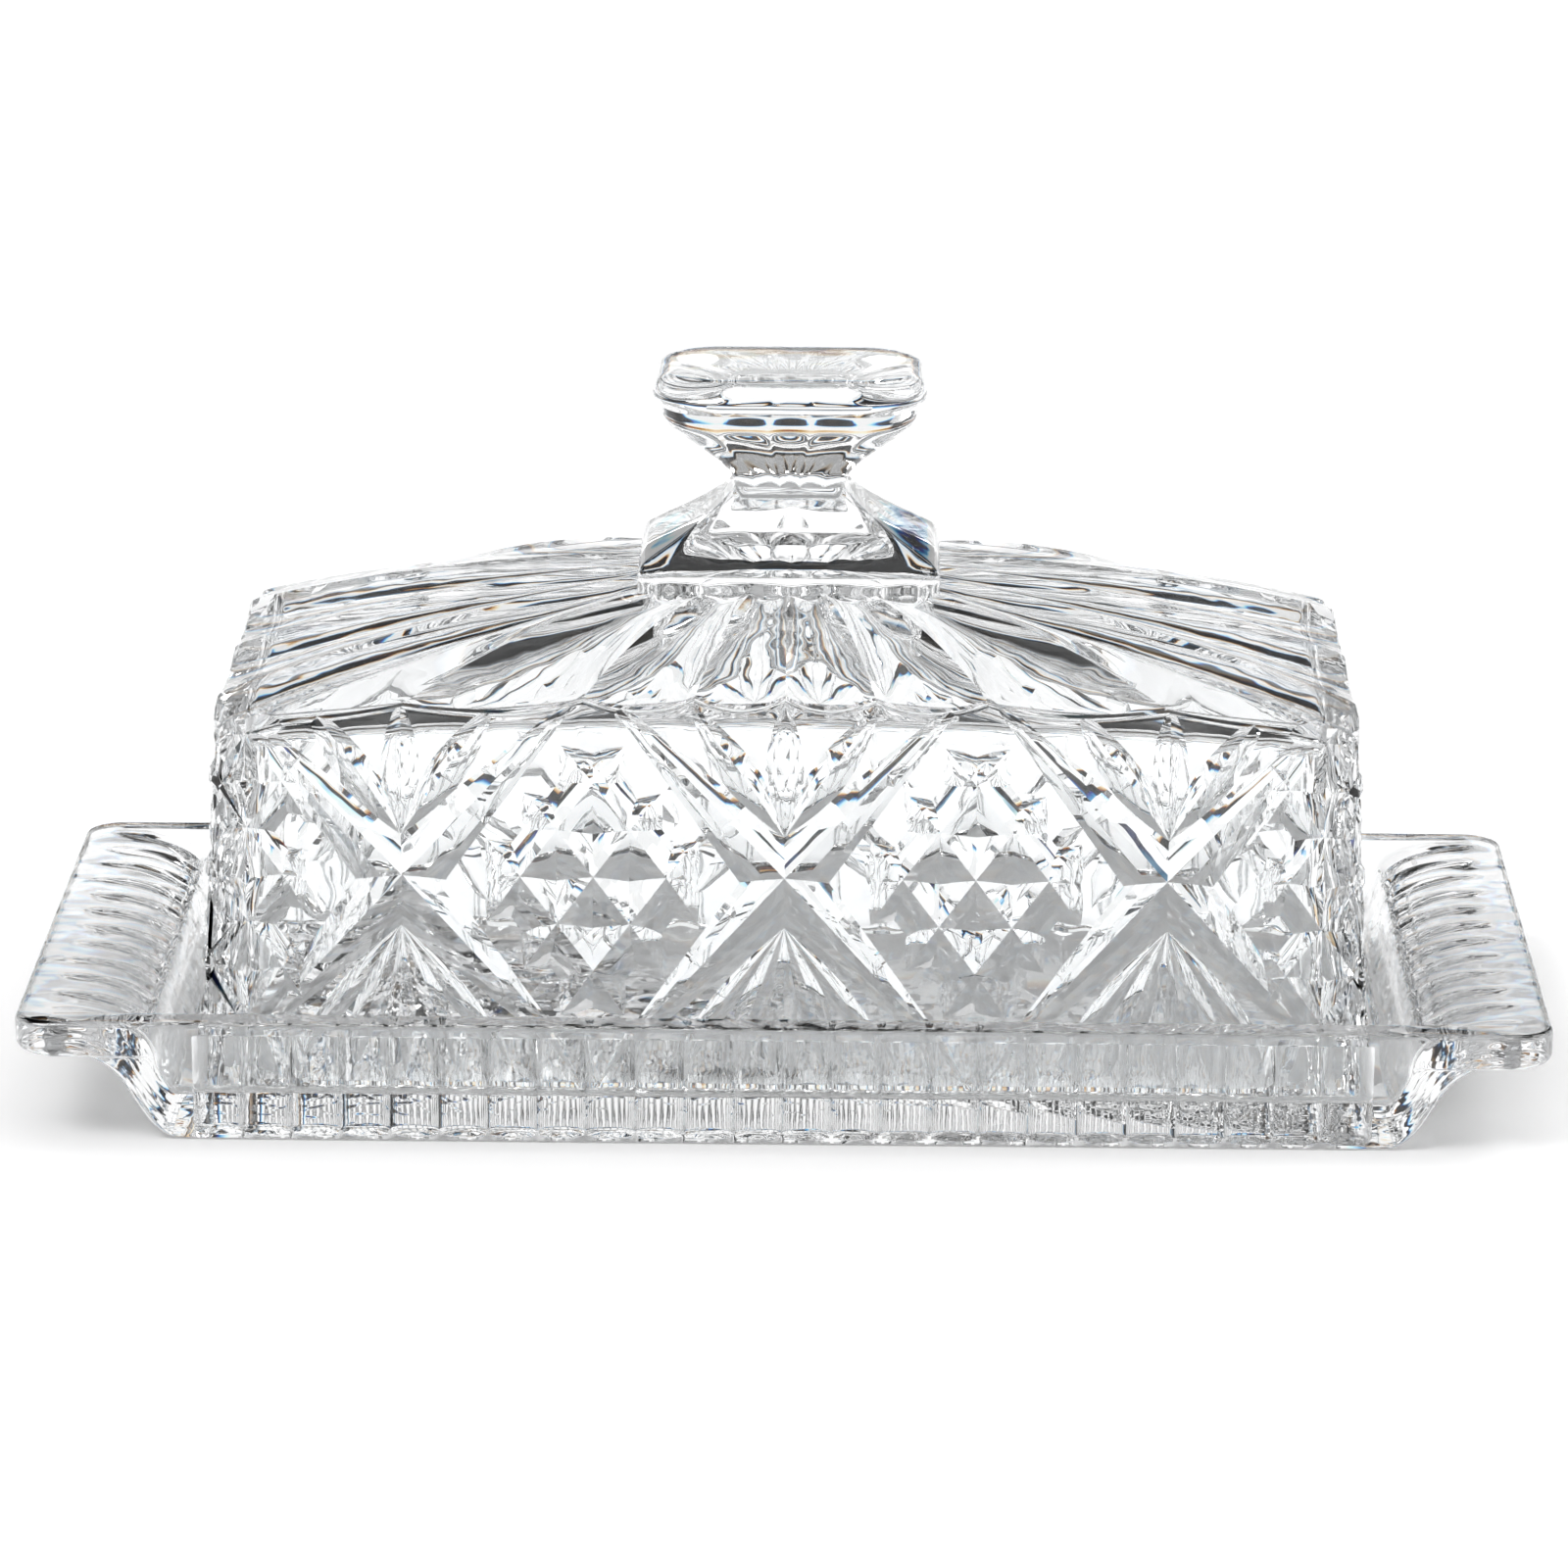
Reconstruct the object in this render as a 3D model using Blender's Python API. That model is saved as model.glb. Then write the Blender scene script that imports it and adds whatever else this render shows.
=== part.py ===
"""Pressed-glass butter dish: a fluted tray with two handle plates, and a lift-off cover with a knob.

Metres, +Z up. The origin is on the table, under the middle of the tray. X runs along the dish.
Each piece is one closed solid, made by joining closed loops of points from its foot to its top.
"""

from math import atan2, cos, hypot, pi, sin, tan

import bmesh
import bpy
from mathutils import Vector

# Driving dimensions of the tray
TRAY_LENGTH = 0.210
TRAY_WIDTH = 0.097
TRAY_HEIGHT = 0.0169
BASE_LENGTH = 0.1650
BASE_WIDTH = 0.0940
PLATE_THICKNESS = 0.0049
PLATE_CORNER = 0.0040
FLOOR_TOP = 0.0055
FLOOR_HALF_LENGTH = 0.0830
FLOOR_HALF_WIDTH = 0.0426
MARGIN_WIDTH = 0.0037
RIM_WIDTH = 0.0044
WALL_FLUTES = 24
WALL_FLUTE_PITCH = 0.0067
WALL_FLUTE_DEPTH = 0.0009
WALL_STRIP = 0.0018
HANDLE_FLUTES = 11
HANDLE_FLUTE_DEPTH = 0.0010

# Driving dimensions of the cover
SEAT_GAP = 0.0003
COVER_LENGTH = 0.1620
COVER_WIDTH = 0.0820
WALL_THICKNESS = 0.0050
DRAFT = 3.0 * pi / 180
CORNER_RADIUS = 0.0050
SHOULDER_HEIGHT = 0.0605
SHOULDER_FALL = 0.0035
SHOULDER_CHAMFER = 0.0012
ROOF_FLUTES = 20
ROOF_FLUTE_DEPTH = 0.0016
PLINTH_HALF = (0.0210, 0.0165)
PLINTH_FOOT = 0.0695
NECK_RADIUS = 0.0075
NECK_HEIGHT = 0.0822
KNOB_HALF = (0.0190, 0.0150)
KNOB_HEIGHT = 0.0985
CAVITY_TOP = 0.0625
CAVITY_WALL_TOP = 0.0540
CAVITY_ROUND = 0.0021
CAVITY_FALL = 0.0032

# The star grooves pressed into the long walls of the cover
STAR_PITCH = 0.0523
STAR_CENTRE_HEIGHT = 0.0350
STAR_ARM_RISE = 0.0235
STAR_ARM_SLOPE = 47.0 * pi / 180
STAR_GROOVE_HALF_WIDTH = 0.0038
STAR_GROOVE_DEPTH = 0.0016
COVER_FOOT = FLOOR_TOP + SEAT_GAP

ARC_STEPS = 3


def clear_scene():
    for old in list(bpy.data.objects):
        bpy.data.objects.remove(old, do_unlink=True)


def clear_glass():
    """Colourless pressed glass."""
    material = bpy.data.materials.new("clear_glass")
    material.use_nodes = True
    shader = material.node_tree.nodes["Principled BSDF"]
    shader.inputs["Base Color"].default_value = (0.94, 0.96, 0.97, 1.0)
    shader.inputs["Roughness"].default_value = 0.03
    shader.inputs["Metallic"].default_value = 0.0
    shader.inputs["IOR"].default_value = 1.52
    shader.inputs["Transmission Weight"].default_value = 1.0
    return material


def solid_from_loops(name, loops, material):
    """One closed solid through a row of loops with equal point counts, capped at both ends."""
    shape = bmesh.new()
    rows = [[shape.verts.new(point) for point in loop] for loop in loops]
    count = len(rows[0])
    for below, above in zip(rows, rows[1:]):
        for i in range(count):
            j = (i + 1) % count
            shape.faces.new((below[i], below[j], above[j], above[i]))
    shape.faces.new(list(reversed(rows[0])))
    shape.faces.new(rows[-1])
    bmesh.ops.recalc_face_normals(shape, faces=shape.faces)
    mesh = bpy.data.meshes.new(name)
    shape.to_mesh(mesh)
    shape.free()
    mesh.shade_smooth()
    mesh.set_sharp_from_angle(angle=30 * pi / 180)
    solid = bpy.data.objects.new(name, mesh)
    solid.data.materials.append(material)
    bpy.context.scene.collection.objects.link(solid)
    return solid


# ---------------------------------------------------------------------------- tray


def tray_loop(half_x, half_y, z, radius, wall_flute=0.0, handle_flute=0.0):
    """A rounded rectangle with a fixed row of flute edges and valleys on each side.

    wall_flute draws the valleys of the long sides in, handle_flute lowers those of the ends.
    """
    long_side = []
    for i in range(2 * WALL_FLUTES + 1):
        x = (i - WALL_FLUTES) * WALL_FLUTE_PITCH / 2
        long_side.append((x, -half_y + wall_flute * (i % 2)))
    end_pitch = 2 * (half_y - radius) / HANDLE_FLUTES
    end_side = []
    for i in range(2 * HANDLE_FLUTES + 1):
        y = (i - HANDLE_FLUTES) * end_pitch / 2
        end_side.append((half_x, y, z - handle_flute * (i % 2)))
    corner = []
    for step in range(1, ARC_STEPS):
        turn = pi / 2 * step / ARC_STEPS
        corner.append((half_x - radius + radius * sin(turn), -half_y + radius - radius * cos(turn)))
    points = []
    for sign in (1, -1):
        points += [(sign * x, sign * y, z) for x, y in long_side]
        points.append((sign * (half_x - radius), sign * -half_y, z))
        points += [(sign * x, sign * y, z) for x, y in corner]
        points += [(sign * x, sign * y, height) for x, y, height in end_side]
        points += [(sign * x, sign * -y, z) for x, y in reversed(corner)]
        points.append((sign * (half_x - radius), sign * half_y, z))
    return points


def tray_outside():
    """The base, the fluted wall with the curve under each handle, and the edge of the plate."""
    plate_under = TRAY_HEIGHT - PLATE_THICKNESS
    half_x = TRAY_LENGTH / 2
    half_y = TRAY_WIDTH / 2
    base_y = BASE_WIDTH / 2
    foot = BASE_LENGTH / 2
    lean = (half_y - base_y) / plate_under
    curve = (
        (foot + 0.0020, WALL_STRIP * 0.3, 0.0),
        (foot + 0.0040, WALL_STRIP, 0.0),
        (foot + 0.0046, WALL_STRIP * 1.7, WALL_FLUTE_DEPTH),
        (foot + 0.0081, 0.0086, WALL_FLUTE_DEPTH),
        (foot + 0.0094, 0.0103, WALL_FLUTE_DEPTH),
        (foot + 0.0135, plate_under - 0.0001, WALL_FLUTE_DEPTH),
        (half_x - 0.0030, plate_under, WALL_FLUTE_DEPTH),
    )
    loops = [tray_loop(foot, base_y, 0.0, 0.0010)]
    for x, z, flute in curve:
        loops.append(tray_loop(x, base_y + lean * z, z, 0.0012, flute))
    loops.append(tray_loop(half_x, half_y, plate_under + 0.0010, PLATE_CORNER, WALL_FLUTE_DEPTH))
    loops.append(tray_loop(half_x, half_y, TRAY_HEIGHT - 0.0014, PLATE_CORNER))
    loops.append(tray_loop(half_x - 0.0006, half_y - 0.0006, TRAY_HEIGHT, PLATE_CORNER))
    return loops


def tray_inside():
    """The flat margin, the fluted top of each handle plate, and the slope down to the floor of the well."""
    margin_x = TRAY_LENGTH / 2 - MARGIN_WIDTH
    rim_y = TRAY_WIDTH / 2 - RIM_WIDTH
    slope = (
        (margin_x, TRAY_HEIGHT, 0.0),
        (margin_x - 0.0079, TRAY_HEIGHT - 0.0006, 0.6),
        (margin_x - 0.0123, TRAY_HEIGHT - 0.0021, 1.0),
        (margin_x - 0.0145, TRAY_HEIGHT - 0.0045, 0.0),
        (margin_x - 0.0157, TRAY_HEIGHT - 0.0078, 0.0),
        (FLOOR_HALF_LENGTH, FLOOR_TOP, 0.0),
    )
    loops = []
    for x, z, share in slope:
        drop = (TRAY_HEIGHT - z) / (TRAY_HEIGHT - FLOOR_TOP)
        half_y = rim_y + (FLOOR_HALF_WIDTH - rim_y) * drop
        loops.append(tray_loop(x, half_y, z, 0.0020, 0.0, share * HANDLE_FLUTE_DEPTH))
    return loops


def make_tray(material):
    return solid_from_loops("tray", tray_outside() + tray_inside(), material)


# --------------------------------------------------------------------------- cover


def ray_angles():
    """Directions from the cover's centre: each flute edge and valley, and round each corner."""
    half_x = COVER_LENGTH / 2
    half_y = COVER_WIDTH / 2
    angles = {round(pi * i / ROOF_FLUTES, 6): i % 2 for i in range(2 * ROOF_FLUTES)}
    for side_x in (1, -1):
        for side_y in (1, -1):
            for step in range(ARC_STEPS + 1):
                turn = pi / 2 * step / ARC_STEPS
                x = side_x * (half_x - CORNER_RADIUS + CORNER_RADIUS * sin(turn))
                y = side_y * (half_y - CORNER_RADIUS + CORNER_RADIUS * cos(turn))
                angles[round(atan2(y, x) % (2 * pi), 6)] = 0.3
    return sorted(angles.items())


def box_reach(angle, half_x, half_y, radius):
    """How far a ray from the centre goes inside a rounded rectangle."""
    dx = abs(cos(angle))
    dy = abs(sin(angle))
    reach = min(half_x / max(dx, 1e-9), half_y / max(dy, 1e-9))
    centre = Vector((half_x - radius, half_y - radius))
    if reach * dx > centre.x and reach * dy > centre.y:
        along = centre.x * dx + centre.y * dy
        reach = along + max(radius ** 2 - (centre.length_squared - along ** 2), 0.0) ** 0.5
    return reach


def oval_reach(angle, half_x, half_y):
    return 1 / hypot(cos(angle) / half_x, sin(angle) / half_y)


def box_loop(half_x, half_y, radius, height):
    """A rounded rectangle of ray points. height is a number or a function of x, y and valley."""
    points = []
    for angle, valley in ray_angles():
        reach = box_reach(angle, half_x, half_y, radius)
        x = reach * cos(angle)
        y = reach * sin(angle)
        points.append((x, y, height(x, y, valley) if callable(height) else height))
    return points


def oval_loop(half_x, half_y, height, flute=0.0):
    points = []
    for angle, valley in ray_angles():
        reach = oval_reach(angle, half_x, half_y) - flute * (valley == 1)
        points.append((reach * cos(angle), reach * sin(angle), height))
    return points


def shoulder_height(x, y, valley):
    """The edge between wall and roof arches down to the ends, and dips in each flute."""
    dip = ROOF_FLUTE_DEPTH * (valley == 1)
    return SHOULDER_HEIGHT - SHOULDER_FALL * (2 * x / COVER_LENGTH) ** 2 - dip


def cover_outside():
    half_x = COVER_LENGTH / 2
    half_y = COVER_WIDTH / 2
    drawn_in = (SHOULDER_HEIGHT - COVER_FOOT) * tan(DRAFT)
    top_x = half_x - drawn_in
    top_y = half_y - drawn_in
    plinth_x, plinth_y = PLINTH_HALF
    loops = [
        box_loop(half_x - 0.0008, half_y - 0.0008, CORNER_RADIUS, COVER_FOOT),
        box_loop(half_x, half_y, CORNER_RADIUS, COVER_FOOT + 0.0010),
        box_loop(top_x, top_y, CORNER_RADIUS, lambda *at: shoulder_height(*at) - SHOULDER_CHAMFER),
        box_loop(top_x - SHOULDER_CHAMFER, top_y - SHOULDER_CHAMFER, CORNER_RADIUS, shoulder_height),
    ]
    for share in (0.35, 0.7):
        size_x = top_x + (plinth_x - top_x) * share
        size_y = top_y + (plinth_y - top_y) * share

        def roof_height(x, y, valley):
            edge = shoulder_height(x / size_x * top_x, y, 0)
            dip = ROOF_FLUTE_DEPTH * (1 - 0.5 * share) * (valley == 1)
            return edge + (PLINTH_FOOT - edge) * share - dip

        loops.append(box_loop(size_x, size_y, CORNER_RADIUS, roof_height))
    return loops


def plinth_and_knob():
    plinth_x, plinth_y = PLINTH_HALF
    knob_x, knob_y = KNOB_HALF
    return [
        box_loop(plinth_x, plinth_y, 0.0070, PLINTH_FOOT),
        box_loop(plinth_x, plinth_y, 0.0070, PLINTH_FOOT + 0.0024),
        box_loop(plinth_x - 0.0016, plinth_y - 0.0014, 0.0070, PLINTH_FOOT + 0.0034),
        oval_loop(0.0145, 0.0120, PLINTH_FOOT + 0.0058, 0.0006),
        oval_loop(0.0098, 0.0088, PLINTH_FOOT + 0.0090, 0.0006),
        oval_loop(NECK_RADIUS, NECK_RADIUS, NECK_HEIGHT, 0.0003),
        oval_loop(0.0090, 0.0084, NECK_HEIGHT + 0.0026, 0.0006),
        oval_loop(0.0137, 0.0112, NECK_HEIGHT + 0.0060, 0.0009),
        oval_loop(0.0180, 0.0143, NECK_HEIGHT + 0.0105, 0.0009),
        oval_loop(knob_x, knob_y, NECK_HEIGHT + 0.0116),
        oval_loop(knob_x, knob_y, KNOB_HEIGHT - 0.0022),
        oval_loop(knob_x - 0.0012, knob_y - 0.0012, KNOB_HEIGHT - 0.0010),
        oval_loop(knob_x * 0.5, knob_y * 0.5, KNOB_HEIGHT),
    ]


def cavity():
    """The space for the butter, listed from its open foot up. Its ceiling falls to the ends."""

    def fall(x):
        return CAVITY_FALL * (2 * x / COVER_LENGTH) ** 2

    half_x = COVER_LENGTH / 2 - WALL_THICKNESS
    half_y = COVER_WIDTH / 2 - WALL_THICKNESS
    drawn_in = (CAVITY_WALL_TOP - COVER_FOOT) * tan(DRAFT)
    top_x = half_x - drawn_in
    top_y = half_y - drawn_in
    return [
        box_loop(half_x, half_y, 0.0030, COVER_FOOT),
        box_loop(top_x, top_y, 0.0030, lambda x, y, valley: CAVITY_WALL_TOP - fall(x)),
        box_loop(
            top_x - CAVITY_ROUND, top_y - CAVITY_ROUND, 0.0030,
            lambda x, y, valley: CAVITY_WALL_TOP + CAVITY_ROUND - fall(x)),
        box_loop(0.0200, 0.0140, 0.0060, CAVITY_TOP),
    ]


def slanting_grooves(name, side, direction):
    """Wedges for the star grooves that lean one way, one row on one long wall."""
    lean = DRAFT
    outward = Vector((0, side * cos(lean), sin(lean)))
    upward = Vector((0, -side * sin(lean), cos(lean)))
    across = Vector((1, 0, 0))
    run = across * direction * cos(STAR_ARM_SLOPE) + upward * sin(STAR_ARM_SLOPE)
    sideways = run.cross(outward)
    half_length = STAR_ARM_RISE / sin(STAR_ARM_SLOPE)
    proud = 0.0010
    shape = bmesh.new()
    for star in (-1, 0, 1):
        depth_at_star = (STAR_CENTRE_HEIGHT - COVER_FOOT) * tan(lean)
        centre = Vector((star * STAR_PITCH, side * (COVER_WIDTH / 2 - depth_at_star), STAR_CENTRE_HEIGHT))
        ends = []
        for along in (-half_length, half_length):
            place = centre + run * along
            widen = STAR_GROOVE_HALF_WIDTH * (1 + proud / STAR_GROOVE_DEPTH)
            corners = (
                place - outward * STAR_GROOVE_DEPTH,
                place + outward * proud + sideways * widen,
                place + outward * proud - sideways * widen,
            )
            ends.append([shape.verts.new(corner) for corner in corners])
        first, last = ends
        shape.faces.new(first)
        shape.faces.new(list(reversed(last)))
        for i in range(3):
            j = (i + 1) % 3
            shape.faces.new((first[j], first[i], last[i], last[j]))
    bmesh.ops.recalc_face_normals(shape, faces=shape.faces)
    mesh = bpy.data.meshes.new(name)
    shape.to_mesh(mesh)
    shape.free()
    cutter = bpy.data.objects.new(name, mesh)
    cutter.hide_render = True
    cutter.display_type = "WIRE"
    bpy.context.scene.collection.objects.link(cutter)
    return cutter


def cut_stars(cover):
    """Takes the star grooves out of both long walls. Both meshes are closed, as this solver needs."""
    for side, wall in ((-1, "front"), (1, "back")):
        for direction, lean in ((-1, "falling"), (1, "rising")):
            name = f"star_cutter_{wall}_{lean}"
            cutter = slanting_grooves(name, side, direction)
            cut = cover.modifiers.new(name, "BOOLEAN")
            cut.operation = "DIFFERENCE"
            cut.solver = "MANIFOLD"
            cut.object = cutter


def make_cover(material):
    loops = list(reversed(cavity())) + cover_outside() + plinth_and_knob()
    cover = solid_from_loops("cover", loops, material)
    cut_stars(cover)
    return cover


clear_scene()
glass = clear_glass()
make_tray(glass)
make_cover(glass)
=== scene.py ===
"""Looks of the pressed-glass butter dish: the patterned tray and cover in clear glass, and the stage."""

from math import atan2, cos, hypot, pi, radians, sin, sqrt, tan

import bpy
from mathutils import Matrix, Vector


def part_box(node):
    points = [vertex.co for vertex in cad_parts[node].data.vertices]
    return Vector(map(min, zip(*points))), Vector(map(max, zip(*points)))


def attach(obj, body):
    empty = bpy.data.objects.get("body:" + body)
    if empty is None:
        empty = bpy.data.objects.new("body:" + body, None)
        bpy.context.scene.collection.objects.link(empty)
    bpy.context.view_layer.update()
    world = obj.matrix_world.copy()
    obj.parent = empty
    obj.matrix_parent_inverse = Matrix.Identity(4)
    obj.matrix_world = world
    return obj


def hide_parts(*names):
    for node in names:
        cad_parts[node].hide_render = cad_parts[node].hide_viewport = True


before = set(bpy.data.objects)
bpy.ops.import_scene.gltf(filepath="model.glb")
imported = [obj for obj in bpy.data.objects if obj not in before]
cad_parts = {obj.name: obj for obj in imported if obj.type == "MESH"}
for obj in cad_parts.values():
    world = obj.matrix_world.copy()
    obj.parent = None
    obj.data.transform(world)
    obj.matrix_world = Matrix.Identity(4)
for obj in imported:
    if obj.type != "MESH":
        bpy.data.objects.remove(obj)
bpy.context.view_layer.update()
MM = 0.001

# ------------------------------------------------------------------ sizes taken from the frame

_, TRAY_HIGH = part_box("tray")
COVER_LOW, COVER_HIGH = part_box("cover")
RIM_TOP = TRAY_HIGH.z
FOOT = COVER_LOW.z
KNOB_TOP = COVER_HIGH.z

# ------------------------------------------------------------------ sizes of the cover

DRAFT = radians(3.0)
COVER_CORNER = 4.0 * MM
MEAN_DRAFT_INSET = 1.5 * MM
FOOT_ROUND = 0.8 * MM
WALL = 5.0 * MM
CAVITY_CORNER = 3.0 * MM
CAVITY_FOOT_RISE = 0.6 * MM
CAVITY_FOOT_FLARE = 0.5 * MM
# The cavity's ceiling: its edge, the arc at the edge, how far it falls to the ends, and its rise
# above the edge against the share of the way out from the middle.
CEILING_EDGE = 56.5 * MM
CEILING_ROUND = 1.5 * MM
CEILING_FALL = 3.2 * MM
CEILING = ((0.04, 7.5 * MM), (0.3, 7.1 * MM), (0.6, 5.3 * MM), (0.85, 2.3 * MM), (0.97, 0.6 * MM))
SHOULDER_MIDDLE = 60.5 * MM
SHOULDER_FALL = 3.5 * MM
SHOULDER_ROUND = 0.7 * MM
SHOULDER_TURN = radians(72.0)
ROOF_BULGE = 1.6 * MM
ROOF_START = 0.4
ROOF_FLUTES = 20
FLUTE_STEPS = 12
# A roof flute's depth grows with its width from the shallowest to the deepest.
FLUTE_DEPTH_SHARE = 0.10
SHALLOWEST_FLUTE = 0.25 * MM
DEEPEST_FLUTE = 1.5 * MM
PLINTH_X = 21.0 * MM
PLINTH_Y = 16.5 * MM
PLINTH_FOOT = 69.5 * MM
PLINTH_CORNER = 4.0 * MM
NECK_X = 7.7 * MM
NECK_Y = 6.0 * MM
NECK_Z = 82.2 * MM
NECK_CORNER = 1.8 * MM
KNOB_X = 19.0 * MM
KNOB_Y = 15.0 * MM
# Profiles in mm. The plinth's rows say how far its sides stand in, how high the row is above the
# plinth's foot, and the corner radius. The hopper under the knob has the same, standing out from the
# neck and above it. The lip's rows say how far in the sides stand and how far the row is below the top.
PLINTH_PROFILE = (
    (0, 0, 1.7, 4.0), (0.7, 0.6, 3.1, 3.6), (2.6, 2.2, 4.4, 3.0), (6.2, 5.0, 6.6, 2.4),
    (9.9, 7.9, 9.2, 2.0), (12.5, 9.9, 11.5, 1.8),
)
HOPPER_PROFILE = (
    (0.5, 0.4, 1.6, 2.2), (2.4, 1.9, 3.7, 3.2), (5.2, 4.1, 6.0, 4.8), (8.1, 6.4, 8.2, 6.4),
    (9.8, 7.7, 10.2, 7.6), (10.2, 8.1, 11.9, 8.2),
)
LIP_PROFILE = (
    (0.5, 0.5, 3.9), (0, 0, 2.9), (0.1, 0.2, 1.9), (0.7, 1.1, 0.9), (1.7, 2.5, 0.3), (3.4, 4.4, 0.08),
)
LIP_CORNER = 8.8 * MM
LIP_CORNER_SHARE = 0.62
# The two rings in the middle of the knob's top, as (share of its half sizes, depth below the top).
KNOB_MIDDLE = ((0.4, 0.01 * MM), (0.05, 0.0))
HOPPER_FLUTES = 14
HOPPER_FLUTE = 0.45 * MM
HOPPER_FADE_IN = (0.0, 0.25)
HOPPER_FADE_OUT = (0.66, 0.76)

# ------------------------------------------------------------------ sizes of the pattern on its walls

STAR_PITCH = 52.3 * MM
STAR_HEIGHT = 35.0 * MM
ARM_ANGLE = radians(47.0)
ARM_REACH = 26.15 * MM
ARM_HALF_WIDTH = 5.0 * MM
ARM_SLOPE = radians(25.0)
# The small pyramids between two stars. A groove runs on past the last crossing by the tail, in steps.
LATTICE_STEP = Vector((5.0 * MM, 6.6 * MM))
LATTICE_TAIL = 0.87
LATTICE_GAP = 0.01 * MM
GROOVE_SLOPE = radians(28.0)
# The columns of diamonds at the corners.
COLUMN_STEP = Vector((4.8 * MM, 6.55 * MM))
COLUMN_REACH = 1.65
COLUMN_TAPER = 0.2
COLUMN_SLOPE = radians(34.0)
COLUMN_HALF_WIDTH = 3.3 * MM
COLUMN_LEVELS = 4
LONG_COLUMN = 73.5 * MM
SHORT_COLUMN = 33.5 * MM
# Leaves above and below each star's crossing, as (lean from upright, length, half width).
LEAF_START = 6.3 * MM
LEAF_SLOPE = radians(33.0)
LEAF_FULLNESS = 0.85
UPPER_LEAF_LEAN = 0.95
LOWER_LEAF_LEAN = 1.15
UPPER_LEAVES = (
    (0.0, 19.0 * MM, 2.6 * MM), (radians(-35), 22.5 * MM, 2.5 * MM), (radians(35), 22.5 * MM, 2.5 * MM),
)
LOWER_LEAVES = (
    (0.0, 20.5 * MM, 2.0 * MM), (radians(-20), 21.0 * MM, 2.2 * MM), (radians(20), 21.0 * MM, 2.2 * MM),
    (radians(-38), 24.0 * MM, 1.6 * MM), (radians(38), 24.0 * MM, 1.6 * MM),
)
# A cutter stands proud of the wall, and the sides of its groove are hollow by a share of its depth.
PROUD = 0.2 * MM
HOLLOW = 0.4
SECTION_SHARES = (0.0, 0.4, 0.72, 1.0)
GROOVE_FULLNESS = 0.9
POINT_HALF_WIDTH = 0.001 * MM

# ------------------------------------------------------------------ sizes of the tray

BASE_HALF_X = 82.5 * MM
BASE_HALF_Y = 47.0 * MM
BASE_CHAMFER = 0.4 * MM
BASE_CORNER = 1.0 * MM
WALL_CORNER = 1.2 * MM
RIM_CORNER = 5.0 * MM
# The corners grow from the wall's radius to the rim's between these two places: past the base's
# end, and short of the rim's end.
CORNER_GROWTH_START = 9.0 * MM
CORNER_GROWTH_END = 5.0 * MM
# The end walls' outline in mm from the base's end: (how far out, how high).
SWEEP_PROFILE = (
    (0.0, 0.0), (2.0, 0.45), (4.1, 2.3), (6.1, 5.4), (8.1, 8.7), (9.8, 10.4), (12.0, 11.4),
)
# The outline goes on under the plate, in mm: (how far in from the rim, how high above its underside).
UNDERSIDE_PROFILE = ((3.0, 0.0), (1.1, 0.05), (0.3, 0.5), (0.0, 1.3))
PLATE_START = 15.0 * MM
PLATE_START_DROP = 0.1 * MM
LEAST_RISE = 0.12 * MM
LEAN_END = 1.7 * MM
FINER_PARTS = 3
PLATE = 4.9 * MM
LIP_ROUND = 0.8 * MM
MARGIN = 3.7 * MM
RIM = 4.4 * MM
FLOOR_TOP = 5.5 * MM
FLOOR_X = 83.0 * MM
FLOOR_Y = 42.6 * MM
WELL_ROUND = 1.2 * MM
WALL_FLUTES = 24
WALL_FLUTE_PITCH = 6.7 * MM
WALL_FLUTE_DEPTH = 1.6 * MM
WALL_FLUTE_FULLNESS = 0.6
FLUTE_FOOT_Z = 0.6 * MM
FLUTE_ROUND_Z = 1.9 * MM
FLUTE_TOP_Z = 15.1 * MM
FLUTE_STOP_BELOW = 0.05 * MM
FLUTE_STOP_ABOVE = 0.1 * MM
# The handle plate's upper side, in mm: (place along the dish, how far below the rim's top).
HANDLE_PROFILE = (
    (96.8, 0.15), (93.4, 0.55), (90.6, 1.35), (88.4, 2.5), (87.1, 3.7), (86.2, 5.3), (85.6, 7.4),
)
HANDLE_FLUTES = 11
HANDLE_FLUTE_DEPTH = 1.1 * MM
HANDLE_FLUTE_POWER = 6
# The plate's flutes begin inside the margin, deepen over their growth, and end at this share of
# the drop to the floor.
HANDLE_FLUTE_START = 0.5 * MM
HANDLE_FLUTE_GROWTH = 13.0 * MM
HANDLE_FLUTE_END = (0.24, 0.33)
WELL_NARROWING = 1.4
SLOPE_CORNER_Y = 42.1 * MM
FLOOR_CORNER_Y = 41.2 * MM

# ------------------------------------------------------------------ edges and surface of the glass

COVER_SHARP = radians(20.0)
TRAY_SHARP = radians(45.0)
POLISH = 0.16 * MM
COVER_SWELL = 0.2 * MM
TRAY_SWELL = 0.45 * MM
COVER_SEED = 0.3
TRAY_SEED = 1.7
SWELL_SCALE = 150.0
SWELL_STRENGTH = 0.5
WEAR_SCALE = 350.0
WEAR_RANGE = (0.45, 0.75)
WORN_ROUGHNESS = 0.012
GLASS_TINT = (0.985, 0.992, 0.995, 1)
GLASS_IOR = 1.52

# ------------------------------------------------------------------ sizes and levels of the stage

# Grey levels of the room: against the sine of the height above the horizon, and against the
# product of the two level parts of a direction, which is greatest half way between the sides.
SKY_LEVELS = (
    (0.0, 1.0), (0.09, 1.0), (0.11, 0.02), (0.18, 0.02), (0.205, 0.95), (0.29, 0.95), (0.305, 0.08),
    (0.36, 0.03), (0.44, 0.03), (0.47, 0.85), (0.53, 0.85), (0.57, 0.02), (0.90, 0.02), (0.95, 0.4),
    (1.0, 0.4),
)
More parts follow.
